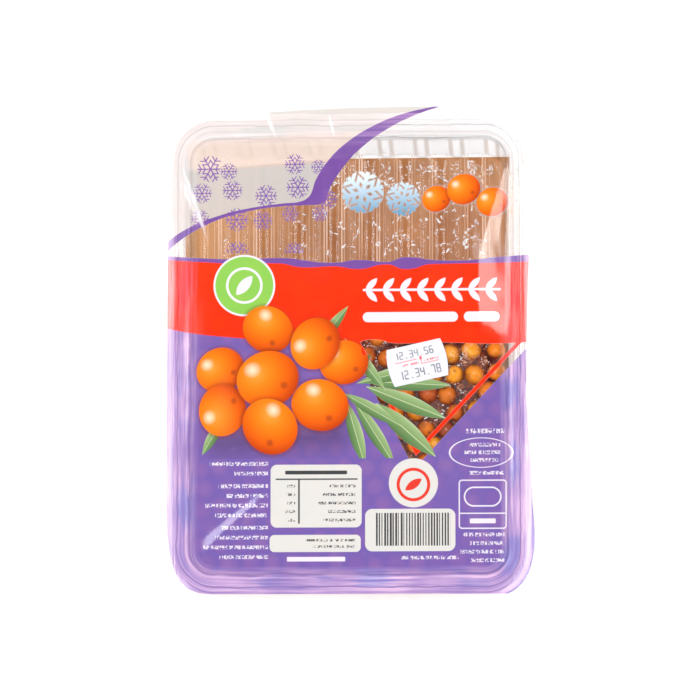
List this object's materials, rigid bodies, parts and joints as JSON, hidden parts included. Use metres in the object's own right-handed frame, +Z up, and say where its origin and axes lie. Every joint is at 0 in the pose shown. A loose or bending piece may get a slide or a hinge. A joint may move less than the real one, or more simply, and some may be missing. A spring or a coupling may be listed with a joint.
{
  "type": "sealed berry tray",
  "caption": "Clear ribbed tray with a sealing flange and a printed lid film, holding frozen sea buckthorn berries at one end, on a kraft base card, with a date sticker.",
  "frame": {"origin": "middle of the footprint's bounding box, on the surface that the pack lies on", "axes": "+Z up through the lid, +Y along the pack towards the lid's top edge, +X to the right of someone reading the lid"},
  "size_m": [0.1544, 0.2058, 0.0321],
  "materials": {
    "kraft_card": "matte",
    "clear_tray": "gloss",
    "printed_film": "gloss",
    "label_paper": "matte",
    "frozen_berry": "satin"
  },
  "bodies": {
    "root": {"base_card": "kraft_card", "tray": "clear_tray", "lid_film": "printed_film", "date_sticker": "label_paper", "frozen_berries": "frozen_berry"}
  },
  "joints": []
}
